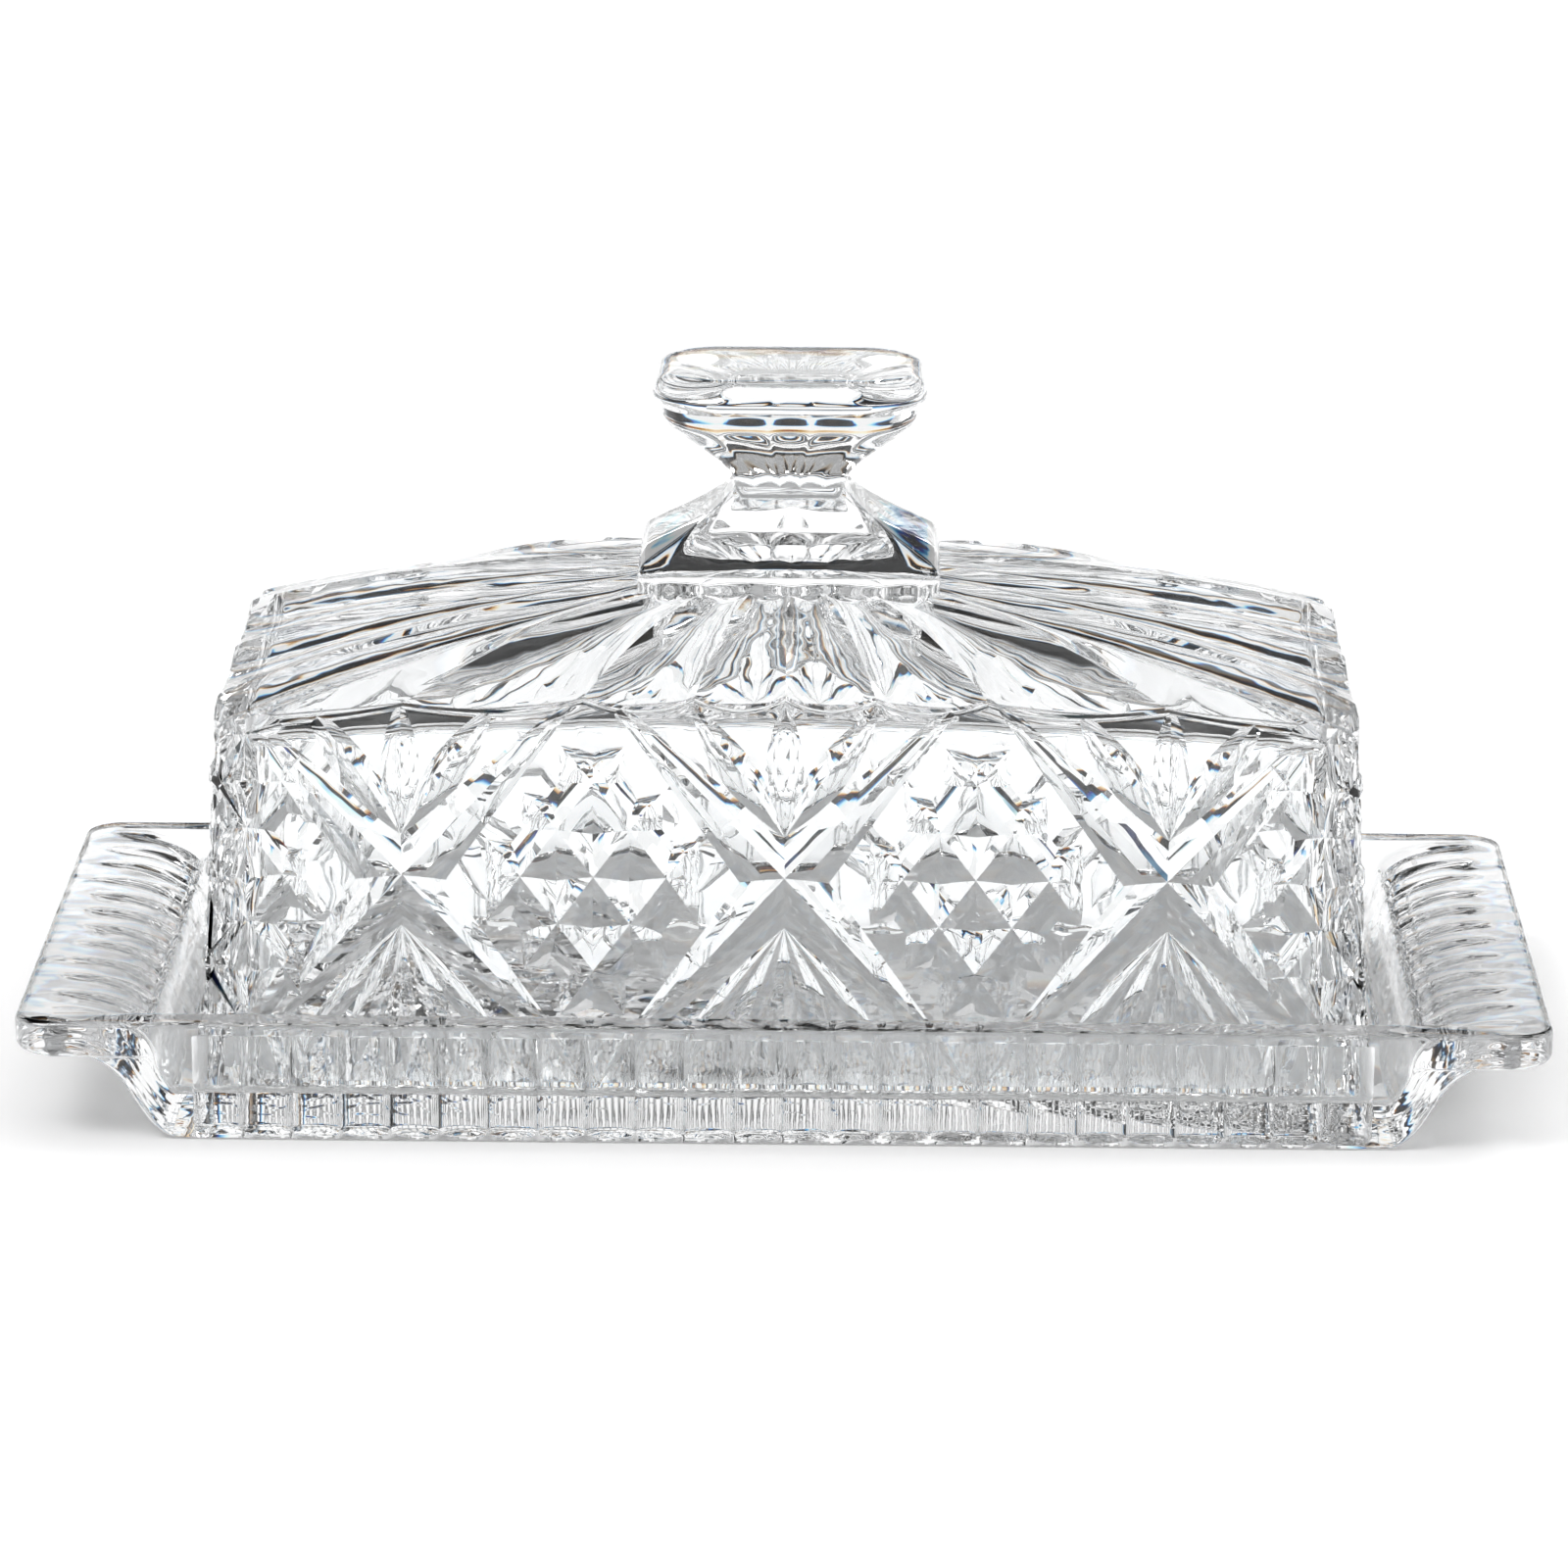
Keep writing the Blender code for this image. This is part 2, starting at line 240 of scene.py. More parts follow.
# The red, green and blue bands sit at slightly different heights, for the faint colour fringes
# that cut glass gives by dispersion.
FRINGE_SHIFTS = (0.006, 0.0, -0.006)
PANEL_LEVELS = ((0.28, 1.0), (0.32, 0.1), (0.41, 0.1), (0.45, 0.8))
# The panels stop short of the horizon.
HORIZON_LEVELS = ((0.08, 1.0), (0.12, 0.0))
# How strongly the floor glows of itself, against the distance from the middle in floor radii. The
# far floor glows as bright as the horizon, so that the two meet without a line.
FLOOR_RADIUS = 6.0
FLOOR_DEPTH = 0.0002
FLOOR_GREY = (0.93, 0.93, 0.935, 1)
FLOOR_ROUGHNESS = 0.6
FLOOR_GLOW = ((0.08, 0.2), (0.5, 0.9), (0.9, 1.0))
# Soft lights, as (name, place in m, size in m, power in W). The last one lights only the floor.
DISH_LIGHTS = (
    ("key_light", (-0.9, -0.7, 1.6), (1.0, 0.7), 14),
    ("fill_light", (1.2, 0.5, 1.5), (0.9, 0.7), 10),
)
FLOOR_LIGHT = ("floor_light", (0, 0, 4.0), (7.0, 7.0), 150)
LIGHT_AIM = Vector((0, 0, 0.04))
# The camera, solved from the lines of the dish in the photo.
CAMERA_ELEVATION = radians(16.155)
CAMERA_AZIMUTH = radians(0.809)
CAMERA_ROLL = radians(0.296)
CAMERA_DISTANCE = 0.9804
CAMERA_AIM = Vector((-0.65 * MM, 0, 37.56 * MM))
CAMERA_LENS = 158.9
CAMERA_SENSOR = 36.0
CAMERA_CLIP = 0.01


def blend(a, b, share):
    return a + (b - a) * share


def smooth(edge0, edge1, value):
    share = min(max((value - edge0) / (edge1 - edge0), 0.0), 1.0)
    return share * share * (3 - 2 * share)


# -------------------------------------------------------------------------- mesh helpers


def link_mesh(name, points, faces):
    mesh = bpy.data.meshes.new(name)
    mesh.from_pydata([tuple(p) for p in points], [], faces)
    mesh.update()
    made = bpy.data.objects.new(name, mesh)
    bpy.context.scene.collection.objects.link(made)
    return made


def closed_loft(name, rings):
    """One closed solid through rings with equal point counts. Each end is closed by a flat cap."""
    count = len(rings[0])
    points = [point for ring in rings for point in ring]
    faces = [tuple(reversed(range(count)))]
    for row in range(len(rings) - 1):
        low = row * count
        for i in range(count):
            j = (i + 1) % count
            faces.append((low + i, low + j, low + count + j, low + count + i))
    last = (len(rings) - 1) * count
    faces.append(tuple(range(last, last + count)))
    return link_mesh(name, points, faces)


def curve_through(points, steps):
    """Points on a smooth curve through a short list of points of any dimension."""
    made = []
    ends = [points[0]] + list(points) + [points[-1]]
    for before, a, b, after in zip(ends, ends[1:], ends[2:], ends[3:]):
        for step in range(steps):
            s = step / steps
            made.append(tuple(
                0.5 * (2 * a[i] + (b[i] - before[i]) * s
                       + (2 * before[i] - 5 * a[i] + 4 * b[i] - after[i]) * s * s
                       + (3 * a[i] - before[i] - 3 * b[i] + after[i]) * s ** 3)
                for i in range(len(a))))
    made.append(tuple(points[-1]))
    return made


# ------------------------------------------------------------------------ cover, uncut body


def box_reach(angle, half_x, half_y, radius):
    """How far a ray from the centre goes inside a rounded rectangle."""
    dx = abs(cos(angle))
    dy = abs(sin(angle))
    reach = min(half_x / max(dx, 1e-9), half_y / max(dy, 1e-9))
    cx = half_x - radius
    cy = half_y - radius
    if reach * dx > cx and reach * dy > cy:
        along = cx * dx + cy * dy
        reach = along + sqrt(max(radius ** 2 - (cx * cx + cy * cy - along ** 2), 0.0))
    return reach


def cover_rays():
    """(angle, t) of every ray from the cover's centre: t runs from -1 to 1 across its flute."""
    sector = 2 * pi / ROOF_FLUTES
    angles = set()
    for i in range(ROOF_FLUTES * FLUTE_STEPS):
        angles.add(round(i * sector / FLUTE_STEPS, 7))
    half_x = COVER_HIGH.x - MEAN_DRAFT_INSET
    half_y = COVER_HIGH.y - MEAN_DRAFT_INSET
    steps = 8
    for side_x in (1, -1):
        for side_y in (1, -1):
            for step in range(steps + 1):
                turn = pi / 2 * step / steps
                x = side_x * (half_x - COVER_CORNER * (1 - sin(turn)))
                y = side_y * (half_y - COVER_CORNER * (1 - cos(turn)))
                angles.add(round(atan2(y, x) % (2 * pi), 7))
    rays = []
    for angle in sorted(angles):
        within = (angle / sector) % 1.0
        rays.append((angle, 2 * within - 1 if within < 1 - 1e-6 else -1.0))
    return rays


RAYS = cover_rays()


def wall_half(z, inset=0.0):
    """Half sizes of the drafted wall at height z."""
    drawn = (z - FOOT) * tan(DRAFT)
    return COVER_HIGH.x - drawn - inset, COVER_HIGH.y - drawn - inset


def level_ring(half_x, half_y, radius, z):
    ring = []
    for angle, _ in RAYS:
        reach = box_reach(angle, half_x, half_y, radius)
        ring.append((reach * cos(angle), reach * sin(angle), z))
    return ring


def shoulder_base(x):
    return SHOULDER_MIDDLE - SHOULDER_FALL * (x / COVER_HIGH.x) ** 2


def roof_point(angle, t, share):
    """A point on the fluted roof: share 0 is on the shoulder, 1 at the foot of the plinth."""
    z = SHOULDER_MIDDLE
    # The shoulder's height and its reach depend on each other, and four rounds settle both.
    for _ in range(4):
        half_x, half_y = wall_half(z)
        outer = box_reach(angle, half_x, half_y, COVER_CORNER)
        z = shoulder_base(outer * cos(angle))
    inner = box_reach(angle, PLINTH_X, PLINTH_Y, PLINTH_CORNER)
    reach = blend(outer, inner, share)
    x = reach * cos(angle)
    y = reach * sin(angle)
    width = 2 * reach * tan(pi / ROOF_FLUTES)
    depth = min(FLUTE_DEPTH_SHARE * width + SHALLOWEST_FLUTE, DEEPEST_FLUTE) * (1 - t * t)
    bulge = ROOF_BULGE * 4 * share * (1 - share)
    return Vector((x, y, blend(z, PLINTH_FOOT, share) + bulge - depth))


def shoulder_rings():
    """The wall's top edge, rounded over into the roof by a small arc."""
    rings = []
    steps = 4
    for step in range(steps + 1):
        turn = SHOULDER_TURN * step / steps
        ring = []
        for angle, t in RAYS:
            edge = roof_point(angle, t, 0.0)
            z = edge.z - SHOULDER_ROUND * (1 - sin(turn))
            half_x, half_y = wall_half(z, SHOULDER_ROUND * (1 - cos(turn)))
            reach = box_reach(angle, half_x, half_y, COVER_CORNER)
            ring.append((reach * cos(angle), reach * sin(angle), z))
        rings.append(ring)
    return rings


def roof_rings():
    steps = 16
    rings = []
    for step in range(steps + 1):
        share = (step + ROOF_START) / (steps + ROOF_START)
        rings.append([roof_point(angle, t, share) for angle, t in RAYS])
    return rings


def plinth_rings():
    """A slab with a bullnose edge, then four hipped faces that sweep up to the neck."""
    marks = [(PLINTH_X, PLINTH_Y, PLINTH_FOOT, PLINTH_CORNER)]
    for in_x, in_y, rise, corner in PLINTH_PROFILE:
        marks.append((PLINTH_X - in_x * MM, PLINTH_Y - in_y * MM, PLINTH_FOOT + rise * MM, corner * MM))
    outline = curve_through(marks + [(NECK_X, NECK_Y, NECK_Z, NECK_CORNER)], 3)
    return [level_ring(half_x, half_y, radius, z) for half_x, half_y, z, radius in outline[1:]]


def knob_rings():
    """The knob: a fluted hopper that bulges out under an overhanging lip, and a low domed top."""
    rings = []
    marks = [(NECK_X, NECK_Y, NECK_Z, NECK_CORNER)]
    for out_x, out_y, rise, corner in HOPPER_PROFILE:
        marks.append((NECK_X + out_x * MM, NECK_Y + out_y * MM, NECK_Z + rise * MM, corner * MM))
    hopper = curve_through(marks, 3)
    count = len(hopper) - 1
    for row, (half_x, half_y, z, radius) in enumerate(hopper[1:], 1):
        share = row / count
        deepest = HOPPER_FLUTE * smooth(*HOPPER_FADE_IN, share) * (1 - smooth(*HOPPER_FADE_OUT, share))
        ring = []
        for angle, _ in RAYS:
            across = angle * HOPPER_FLUTES / (2 * pi) % 1.0 * 2 - 1
            reach = box_reach(angle, half_x, half_y, radius) - deepest * (1 - across * across)
            ring.append((reach * cos(angle), reach * sin(angle), z))
        rings.append(ring)
    marks = []
    for in_x, in_y, drop in LIP_PROFILE:
        marks.append((KNOB_X - in_x * MM, KNOB_Y - in_y * MM, KNOB_TOP - drop * MM))
    for share, drop in KNOB_MIDDLE:
        marks.append((KNOB_X * share, KNOB_Y * share, KNOB_TOP - drop))
    for half_x, half_y, z in curve_through(marks, 3):
        rings.append(level_ring(half_x, half_y, min(LIP_CORNER, half_y * LIP_CORNER_SHARE), z))
    return rings


def cavity_rings():
    """The plain inside, from the top down to the foot. Its ceiling falls to the ends as the roof does."""
    rings = []
    half_x, half_y = wall_half(CEILING_EDGE, WALL + CEILING_ROUND)
    for share, rise in CEILING:
        rings.append(level_ring(half_x * share, half_y * share, CAVITY_CORNER * share, CEILING_EDGE + rise))
    steps = 6
    for step in range(steps + 1):
        turn = pi / 2 * step / steps
        half_x, half_y = wall_half(CEILING_EDGE, WALL + CEILING_ROUND * (1 - sin(turn)))
        z = CEILING_EDGE - CEILING_ROUND * (1 - cos(turn))
        rings.append(level_ring(half_x, half_y, CAVITY_CORNER, z))
    for row, ring in enumerate(rings):
        rings[row] = [(x, y, z - CEILING_FALL * (x / COVER_HIGH.x) ** 2) for x, y, z in ring]
    half_x, half_y = wall_half(FOOT + CAVITY_FOOT_RISE, WALL)
    rings.append(level_ring(half_x, half_y, CAVITY_CORNER, FOOT + CAVITY_FOOT_RISE))
    rings.append(level_ring(half_x + CAVITY_FOOT_FLARE, half_y + CAVITY_FOOT_FLARE, CAVITY_CORNER, FOOT))
    return rings


def foot_rings():
    """The outer edge of the foot, rounded up into the wall."""
    rings = []
    steps = 4
    for step in range(steps + 1):
        turn = pi / 2 * step / steps
        z = FOOT + FOOT_ROUND * (1 - cos(turn))
        half_x, half_y = wall_half(z, FOOT_ROUND * (1 - sin(turn)))
        rings.append(level_ring(half_x, half_y, COVER_CORNER, z))
    return rings


def cover_body():
    rings = cavity_rings() + foot_rings() + shoulder_rings() + roof_rings() + plinth_rings() + knob_rings()
    return closed_loft("cover_glass", rings)


# ------------------------------------------------------------------------ pattern cut in the walls


def wall_frames():
    """For each wall: where the middle of its foot is, and its across, up and outward directions."""
    frames = {}
    for name, turn, reach in (("front", 0, COVER_HIGH.y), ("back", 180, COVER_HIGH.y),
                              ("right", 90, COVER_HIGH.x), ("left", -90, COVER_HIGH.x)):
        spin = Matrix.Rotation(radians(turn), 3, "Z")
        frames[name] = (
            spin @ Vector((0, -reach, FOOT)),
            spin @ Vector((1, 0, 0)),
            spin @ Vector((0, sin(DRAFT), cos(DRAFT))),
            spin @ Vector((0, -cos(DRAFT), sin(DRAFT))),
        )
    return frames


WALLS = wall_frames()


def groove_section(half, slope):
    """Half of a groove's section from its crease out, as (sideways, depth). Its side is slightly hollow."""
    deepest = half * tan(slope)
    section = []
    for share in SECTION_SHARES:
        section.append((half * share, deepest * ((1 - HOLLOW) * (1 - share) + HOLLOW * (1 - share ** 2))))
    edge_slope = tan(slope) * (1 + HOLLOW)
    section.append((half + PROUD / edge_slope, -PROUD))
    return section


def wedge(points, faces, wall, start, end, profile, slope):
    """Adds a groove-shaped cutter along start-end on a wall. profile lists (share, half width)."""
    origin, across, up, out = WALLS[wall]
    first = origin + across * start[0] + up * (start[1] - FOOT)
    last = origin + across * end[0] + up * (end[1] - FOOT)
    run = (last - first).normalized()
    side = run.cross(out)
    base = len(points)
    for share, half in profile:
        middle = first.lerp(last, share)
        section = groove_section(max(half, POINT_HALF_WIDTH), slope)
        points += [middle - out * depth + side * reach for reach, depth in section]
        points += [middle - out * depth - side * reach for reach, depth in reversed(section[1:])]
    count = 2 * len(SECTION_SHARES) + 1
    faces.append(tuple(range(base, base + count)))
    for row in range(len(profile) - 1):
        low = base + count * row
        for i in range(count):
            j = (i + 1) % count
            faces.append((low + j, low + i, low + count + i, low + count + j))
    end_row = base + count * (len(profile) - 1)
    faces.append(tuple(reversed(range(end_row, end_row + count))))


def leaf_profile(half_width, lean):
    """A leaf outline, pointed at both ends. lean under 1 moves its widest place towards the start."""
    steps = 12
    outline = [(0.0, 0.0)]
    for step in range(1, steps):
        share = step / steps
        outline.append((share, half_width * sin(pi * share ** lean) ** LEAF_FULLNESS))
    return outline + [(1.0, 0.0)]


def arm_profile(half_width):
    return [(0.0, 0.0), (0.5, half_width), (1.0, 0.0)]


def groove_profile(half_width, taper):
    """A groove of even width with a leaf-shaped point over the share taper at each end."""
    steps = 4
    rise = []
    for i in range(steps + 1):
        rise.append((taper * i / steps, half_width * sin(pi / 2 * i / steps) ** GROOVE_FULLNESS))
    return rise + [(1 - share, half) for share, half in reversed(rise)]


def polar(centre, angle, length):
    """The point at length from centre, angle measured from straight up."""
    return centre[0] + length * sin(angle), centre[1] + length * cos(angle)


def star_cuts(wall, x):
    """The crossed arms of one star with the leaves above and below their crossing."""
    rise = ARM_REACH * tan(ARM_ANGLE)
    cuts = []
    for group, lean in (("arms_rising", 1), ("arms_falling", -1)):
        start = (x - ARM_REACH, STAR_HEIGHT - lean * rise)
        end = (x + ARM_REACH, STAR_HEIGHT + lean * rise)
        cuts.append((group, wall, start, end, arm_profile(ARM_HALF_WIDTH), ARM_SLOPE))
    crown = (x, STAR_HEIGHT + LEAF_START)
    for number, (angle, length, half) in enumerate(UPPER_LEAVES):
        end = polar(crown, angle, length)
        cuts.append((f"upper_{number}", wall, crown, end, leaf_profile(half, UPPER_LEAF_LEAN), LEAF_SLOPE))
    root = (x, STAR_HEIGHT - LEAF_START)
    for number, (angle, length, half) in enumerate(LOWER_LEAVES):
        end = polar(root, pi - angle, length)
        cuts.append((f"lower_{number}", wall, root, end, leaf_profile(half, LOWER_LEAF_LEAN), LEAF_SLOPE))
    return cuts


def lattice_cuts(wall, x):
    """A field of three by three crossing grooves, which leave pyramids between them."""
    step_x, step_z = LATTICE_STEP
    spread = 2 * step_x * step_z / hypot(step_x, step_z)
    reach = 1 + LATTICE_TAIL
    profile = groove_profile(spread / 2 - LATTICE_GAP, LATTICE_TAIL / (2 + 2 * LATTICE_TAIL))
    cuts = []
    for lean, name in ((1, "rising"), (-1, "falling")):
        for i in (-1, 0, 1):
            middle = (x + i * step_x, STAR_HEIGHT - lean * i * step_z)
            start = (middle[0] - reach * step_x, middle[1] - lean * reach * step_z)
            end = (middle[0] + reach * step_x, middle[1] + lean * reach * step_z)
            cuts.append((f"lattice_{name}_{i % 2}", wall, start, end, profile, GROOVE_SLOPE))
    return cuts


def column_cuts(wall, x):
    """A column of crossing grooves up one corner. They leave small flat diamonds between them."""
    step_x, step_z = COLUMN_STEP
    profile = groove_profile(COLUMN_HALF_WIDTH, COLUMN_TAPER)
    cuts = []
    for level in range(COLUMN_LEVELS):
        z = STAR_HEIGHT + (2 * level - COLUMN_LEVELS + 1) * step_z
        for lean, name in ((1, "rising"), (-1, "falling")):
            start = (x - COLUMN_REACH * step_x, z - lean * COLUMN_REACH * step_z)
            end = (x + COLUMN_REACH * step_x, z + lean * COLUMN_REACH * step_z)
            cuts.append((f"column_{name}", wall, start, end, profile, COLUMN_SLOPE))
    return cuts


def pattern():
    """Every cut in the four walls. Each is (group, wall, start, end, profile, slope)."""
    three_stars = (-STAR_PITCH, 0, STAR_PITCH)
    cuts = []
    for wall, star_places, column_place in (
        ("front", three_stars, LONG_COLUMN),
        ("back", three_stars, LONG_COLUMN),
        ("left", (0,), SHORT_COLUMN),
        ("right", (0,), SHORT_COLUMN),
    ):
        for x in star_places:
            cuts += star_cuts(wall, x)
        for x, after in zip(star_places, star_places[1:]):
            cuts += lattice_cuts(wall, (x + after) / 2)
        cuts += column_cuts(wall, column_place) + column_cuts(wall, -column_place)
    return cuts


def cut_pattern(cover):
    """Takes the pattern out of the walls. Cuts in one group never overlap, so each group is one cutter."""
    groups = {}
    for group, *cut in pattern():
        groups.setdefault(group, ([], []))
        wedge(*groups[group], *cut)
    cutters = []
    for group, (points, faces) in groups.items():
        cutter = link_mesh("cutter_" + group, points, faces)
        cutters.append(cutter)
        cut = cover.modifiers.new(group, "BOOLEAN")
        cut.operation = "DIFFERENCE"
        cut.solver = "MANIFOLD"
        cut.object = cutter
    polish = cover.modifiers.new("fire_polish", "BEVEL")
    polish.width = POLISH
    polish.segments = 2
    polish.limit_method = "ANGLE"
    polish.angle_limit = COVER_SHARP
    bake(cover)
    for cutter in cutters:
        bpy.data.objects.remove(cutter, do_unlink=True)


def bake(made):
    """Puts what the modifiers make into the mesh itself."""
    bpy.context.view_layer.update()
    graph = bpy.context.evaluated_depsgraph_get()
    mesh = bpy.data.meshes.new_from_object(made.evaluated_get(graph))
    made.modifiers.clear()
    made.data = mesh


# ------------------------------------------------------------------------------------ tray


def tray_ring(half_x, half_y, radius, z, wall_depth=None, handle_depth=0.0):
    """A rounded rectangle whose long sides are drawn in, and whose ends are lowered, by flutes."""
    steps = 8
    long_side = []
    for i in range(WALL_FLUTES * steps + 1):
        t = -cos(pi * (i % steps) / steps)
        x = (i // steps + 0.5 + t / 2 - WALL_FLUTES / 2) * WALL_FLUTE_PITCH
        long_side.append((x, -half_y + (wall_depth(t, z) if wall_depth else 0.0), z))
    long_side.append((half_x - radius, -half_y, z))
    arc = 6
    corner = []
    for step in range(1, arc):
        turn = pi / 2 * step / arc
        corner.append((half_x - radius * (1 - sin(turn)), -half_y + radius * (1 - cos(turn)), z))
    end_side = []
    for i in range(HANDLE_FLUTES * steps + 1):
        t = -cos(pi * (i % steps) / steps)
        share = (i // steps + 0.5 + t / 2) / HANDLE_FLUTES
        y = (2 * share - 1) * (half_y - radius)
        end_side.append((half_x, y, z - handle_depth * (1 - t ** HANDLE_FLUTE_POWER)))
    half = long_side + corner + end_side
    half += [(x, -y, z) for x, y, _ in reversed(corner)] + [(half_x - radius, half_y, z)]
    return half + [(-x, -y, height) for x, y, height in half]


def wall_flute(t, z):
    """Depth of the flutes in the long walls: round at the bottom, square under the rim."""
    below = max((FLUTE_ROUND_Z - z) / (FLUTE_ROUND_Z - FLUTE_FOOT_Z), 0.0)
    if z >= FLUTE_TOP_Z:
        return 0.0
    return WALL_FLUTE_DEPTH * max(1 - t * t - below * below, 0.0) ** WALL_FLUTE_FULLNESS


def tray_outside():
    """The base, the fluted walls, the sweep out to the handle plates, and the rim."""
    half_x = TRAY_HIGH.x
    half_y = TRAY_HIGH.y
    under = RIM_TOP - PLATE
    marks = [(BASE_HALF_X + out * MM, rise * MM) for out, rise in SWEEP_PROFILE]
    marks.append((BASE_HALF_X + PLATE_START, under - PLATE_START_DROP))
    marks += [(half_x - inset * MM, under + rise * MM) for inset, rise in UNDERSIDE_PROFILE]
    outline = curve_through(marks, 5)
    finer = []
    for (x, z), (next_x, next_z) in zip(outline, outline[1:]):
        parts = FINER_PARTS if z < FLUTE_ROUND_Z else 1
        finer += [(blend(x, next_x, i / parts), blend(z, next_z, i / parts)) for i in range(parts)]
    rings = [tray_ring(BASE_HALF_X - BASE_CHAMFER, BASE_HALF_Y - BASE_CHAMFER, BASE_CORNER, 0.0)]
    for x, z in finer + [outline[-1]]:
        if z < LEAST_RISE:
            continue
        y = blend(BASE_HALF_Y, half_y, min(z / (under + LEAN_END), 1.0))
        growth = smooth(BASE_HALF_X + CORNER_GROWTH_START, half_x - CORNER_GROWTH_END, x)
        rings.append(tray_ring(x, y, blend(WALL_CORNER, RIM_CORNER, growth), z, wall_flute))
    rings.append(tray_ring(half_x, half_y, RIM_CORNER, FLUTE_TOP_Z - FLUTE_STOP_BELOW, wall_flute))
    rings.append(tray_ring(half_x, half_y, RIM_CORNER, FLUTE_TOP_Z + FLUTE_STOP_ABOVE))
    steps = 5
    for step in range(steps + 1):
        turn = pi / 2 * step / steps
        inset = LIP_ROUND * (1 - cos(turn))
        z = RIM_TOP - LIP_ROUND + LIP_ROUND * sin(turn)
        rings.append(tray_ring(half_x - inset, half_y - inset, RIM_CORNER, z))
    return rings


def tray_inside():
    """The flat margin, the ridged plate of each handle, and the well down to its floor."""
    margin_x = TRAY_HIGH.x - MARGIN
    rim_y = TRAY_HIGH.y - RIM
    marks = [(margin_x, RIM_TOP)]
    marks += [(x * MM, RIM_TOP - drop * MM) for x, drop in HANDLE_PROFILE]
    marks.append((FLOOR_X + WELL_ROUND, FLOOR_TOP + WELL_ROUND))
    rings = []
    for x, z in curve_through(marks, 4):
        drop = (RIM_TOP - z) / (RIM_TOP - FLOOR_TOP)
        half_y = blend(rim_y, FLOOR_Y, min(drop * WELL_NARROWING, 1.0))
        growth = (margin_x - HANDLE_FLUTE_START - x) / HANDLE_FLUTE_GROWTH
        depth = HANDLE_FLUTE_DEPTH * min(max(growth, 0.0), 1.0)
        depth *= 1 - smooth(*HANDLE_FLUTE_END, drop)
        rings.append(tray_ring(x, half_y, half_y - SLOPE_CORNER_Y, z, None, depth))
    steps = 4
    for step in range(1, steps + 1):
        turn = pi / 2 * step / steps
        inset = WELL_ROUND * (1 - cos(turn))
        z = FLOOR_TOP + WELL_ROUND * (1 - sin(turn))
        half_y = FLOOR_Y - inset
        rings.append(tray_ring(FLOOR_X + WELL_ROUND - inset, half_y, half_y - FLOOR_CORNER_Y, z))
    return rings


def tray_body():
    return closed_loft("tray_glass", tray_outside() + tray_inside())


# ------------------------------------------------------------------------------- materials


def node(tree, kind, **values):
    """A new shader node with these values on its inputs. An underscore stands for a space."""
    made = tree.nodes.new(kind)
    for name, value in values.items():
        made.inputs[name.replace("_", " ")].default_value = value
    return made


def pressed_glass(name, swell_height, seed):
    """Clear glass. Its surface keeps the slight swell of the mould and a trace of wear in its gloss."""
    material = bpy.data.materials.new(name)
    material.use_nodes = True
    tree = material.node_tree
    shader = tree.nodes["Principled BSDF"]
    shader.inputs["Base Color"].default_value = GLASS_TINT
    shader.inputs["Transmission Weight"].default_value = 1.0
    shader.inputs["IOR"].default_value = GLASS_IOR
    where = tree.nodes.new("ShaderNodeTexCoord")
    shift = node(tree, "ShaderNodeMapping", Location=(seed, seed * 0.7, 0))
    swell = node(tree, "ShaderNodeTexNoise", Scale=SWELL_SCALE, Detail=1.0, Roughness=0.4)
    bump = node(tree, "ShaderNodeBump", Strength=SWELL_STRENGTH, Distance=swell_height)
    wear = node(tree, "ShaderNodeTexNoise", Scale=WEAR_SCALE, Detail=3.0)
    low, high = WEAR_RANGE
    gloss = node(tree, "ShaderNodeMapRange", From_Min=low, From_Max=high, To_Min=0.0, To_Max=WORN_ROUGHNESS)
    tree.links.new(where.outputs["Object"], shift.inputs["Vector"])
    tree.links.new(shift.outputs["Vector"], swell.inputs["Vector"])
    tree.links.new(shift.outputs["Vector"], wear.inputs["Vector"])
    tree.links.new(swell.outputs["Fac"], bump.inputs["Height"])
    tree.links.new(wear.outputs["Fac"], gloss.inputs["Value"])
    tree.links.new(bump.outputs["Normal"], shader.inputs["Normal"])
    tree.links.new(gloss.outputs["Result"], shader.inputs["Roughness"])
    return material


def finish_piece(piece, cad_node, body, sharp, swell_height, seed):
    """Gives a piece its shading and glass, and puts it in the place of its CAD node."""
    piece.data.shade_smooth()
    piece.data.set_sharp_from_angle(angle=sharp)
    piece.data.materials.clear()
    piece.data.materials.append(pressed_glass(piece.name + "_clear", swell_height, seed))
    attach(piece, body)
    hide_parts(cad_node)


# ------------------------------------------------------------------------------ the stage


def make_floor():
    """A wide pale disc, just below the tray, that fades into the horizon."""
    bpy.ops.mesh.primitive_circle_add(
        vertices=96, radius=FLOOR_RADIUS, fill_type="NGON", location=(0, 0, -FLOOR_DEPTH))
    floor = bpy.context.object
    floor.name = "floor"
    material = bpy.data.materials.new("pale_floor")
    material.use_nodes = True
    tree = material.node_tree
    shader = tree.nodes["Principled BSDF"]
    shader.inputs["Base Color"].default_value = FLOOR_GREY
    shader.inputs["Roughness"].default_value = FLOOR_ROUGHNESS
    shader.inputs["Emission Strength"].default_value = 1.0
    where = tree.nodes.new("ShaderNodeTexCoord")
    distance = tree.nodes.new("ShaderNodeVectorMath")
    distance.operation = "LENGTH"
    tree.links.new(where.outputs["Object"], distance.inputs[0])
    share = math_node(tree, "DIVIDE", distance.outputs["Value"], FLOOR_RADIUS)
    tree.links.new(level_ramp(tree, share, FLOOR_GLOW), shader.inputs["Emission Color"])
    floor.data.materials.append(material)


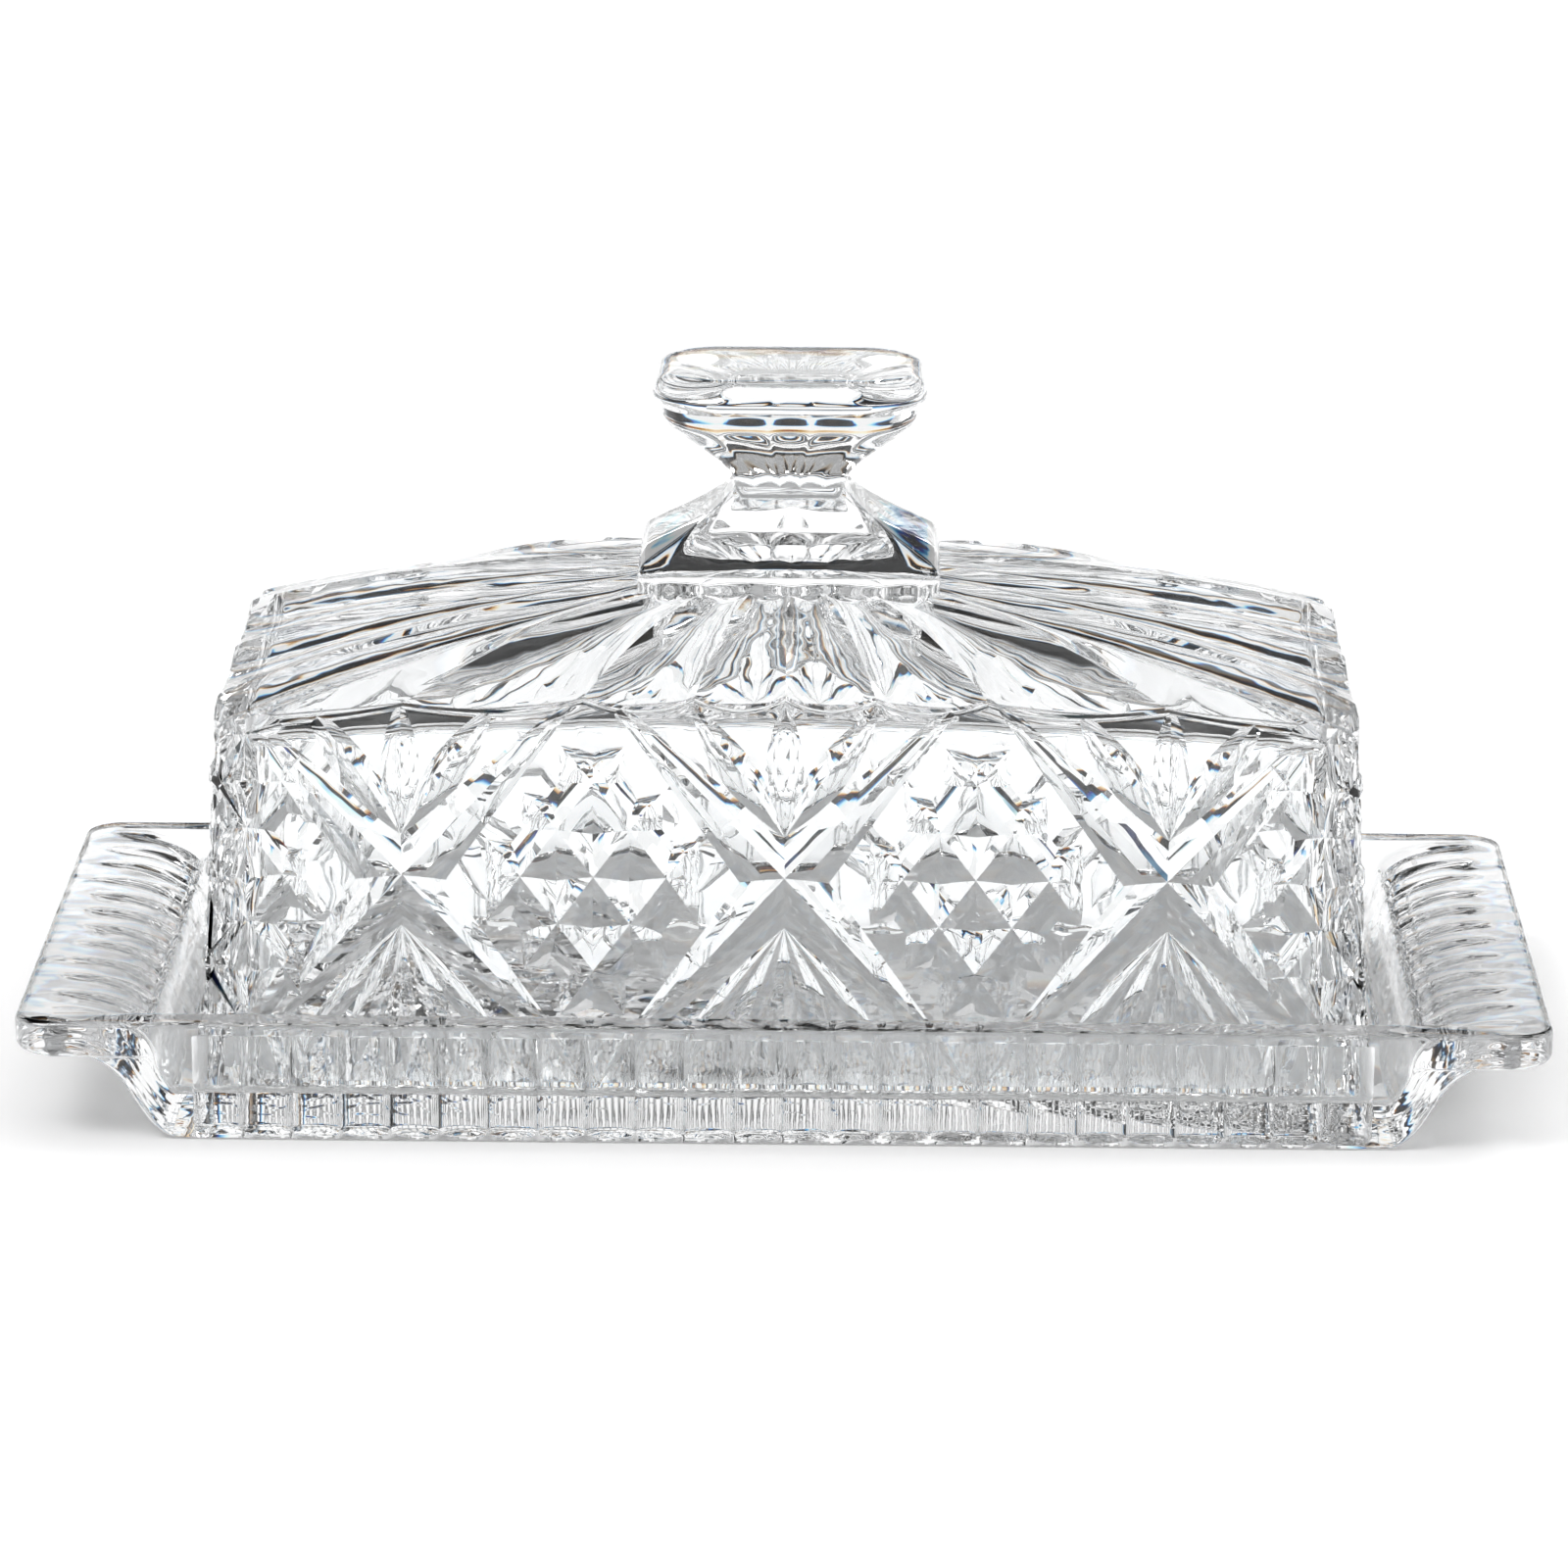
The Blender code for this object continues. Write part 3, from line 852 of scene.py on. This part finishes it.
def level_ramp(tree, source, marks):
    """A colour ramp of grey levels, given as (place, level)."""
    ramp = tree.nodes.new("ShaderNodeValToRGB")
    tree.links.new(source, ramp.inputs["Fac"])
    stops = ramp.color_ramp.elements
    for stop, (place, level) in zip(stops, (marks[0], marks[-1])):
        stop.position = place
        stop.color = (level, level, level, 1)
    for place, level in marks[1:-1]:
        stops.new(place).color = (level, level, level, 1)
    return ramp.outputs["Color"]


def math_node(tree, operation, first, second):
    """One step of arithmetic on sockets or plain numbers. None leaves an input as it is."""
    made = tree.nodes.new("ShaderNodeMath")
    made.operation = operation
    for socket, value in zip(made.inputs, (first, second)):
        if isinstance(value, (int, float)):
            socket.default_value = value
        elif value is not None:
            tree.links.new(value, socket)
    return made.outputs[0]


def make_world():
    """A room in level bands of light and dark, white round the horizon, with four dark panels."""
    world = bpy.data.worlds.new("studio")
    bpy.context.scene.world = world
    world.use_nodes = True
    tree = world.node_tree
    sky = tree.nodes["Background"]
    where = tree.nodes.new("ShaderNodeTexCoord")
    split = tree.nodes.new("ShaderNodeSeparateXYZ")
    tree.links.new(where.outputs["Generated"], split.inputs[0])
    x, y, z = split.outputs
    height = tree.nodes.new("ShaderNodeCombineColor")
    for channel, shift in zip(height.inputs, FRINGE_SHIFTS):
        tree.links.new(level_ramp(tree, math_node(tree, "ADD", z, shift), SKY_LEVELS), channel)
    across = math_node(tree, "ABSOLUTE", math_node(tree, "MULTIPLY", x, y), None)
    panels = level_ramp(tree, across, PANEL_LEVELS)
    horizon = level_ramp(tree, z, HORIZON_LEVELS)
    strength = math_node(tree, "MAXIMUM", panels, horizon)
    tree.links.new(height.outputs["Color"], sky.inputs["Color"])
    tree.links.new(strength, sky.inputs["Strength"])


def soft_light(name, place, size, power):
    data = bpy.data.lights.new(name, "AREA")
    data.shape = "RECTANGLE"
    data.size, data.size_y = size
    data.energy = power
    light = bpy.data.objects.new(name, data)
    light.location = place
    light.rotation_euler = (LIGHT_AIM - Vector(place)).to_track_quat("-Z", "Y").to_euler()
    bpy.context.scene.collection.objects.link(light)
    return light


def make_lights():
    """Two lights for the glass, and one overhead that whitens the floor and isn't seen in the glass."""
    for values in DISH_LIGHTS:
        soft_light(*values)
    overhead = soft_light(*FLOOR_LIGHT)
    overhead.visible_glossy = False
    overhead.visible_transmission = False


def make_camera():
    """Looks down a little from in front, almost square on to the long side."""
    level = cos(CAMERA_ELEVATION)
    back = Vector((sin(CAMERA_AZIMUTH) * level, -cos(CAMERA_AZIMUTH) * level, sin(CAMERA_ELEVATION)))
    right = (-back).cross(Vector((0, 0, 1))).normalized()
    up = right.cross(-back)
    side = right * cos(CAMERA_ROLL) + up * sin(CAMERA_ROLL)
    top = up * cos(CAMERA_ROLL) - right * sin(CAMERA_ROLL)
    data = bpy.data.cameras.new("camera")
    data.sensor_width = CAMERA_SENSOR
    data.lens = CAMERA_LENS
    data.clip_start = CAMERA_CLIP
    camera = bpy.data.objects.new("camera", data)
    turn = Matrix((side, top, back)).transposed().to_4x4()
    camera.matrix_world = Matrix.Translation(CAMERA_AIM + back * CAMERA_DISTANCE) @ turn
    bpy.context.scene.collection.objects.link(camera)
    bpy.context.scene.camera = camera


def render_look():
    """Enough bounces for light to come through both pieces of glass."""
    scene = bpy.context.scene
    scene.view_settings.view_transform = "Standard"
    cycles = scene.cycles
    cycles.max_bounces = 24
    cycles.transmission_bounces = 24
    cycles.glossy_bounces = 12
    cycles.sample_clamp_indirect = 6.0


cover = cover_body()
cut_pattern(cover)
finish_piece(cover, "cover", "cover", COVER_SHARP, COVER_SWELL, COVER_SEED)
finish_piece(tray_body(), "tray", "tray", TRAY_SHARP, TRAY_SWELL, TRAY_SEED)
make_floor()
make_world()
make_lights()
make_camera()
render_look()
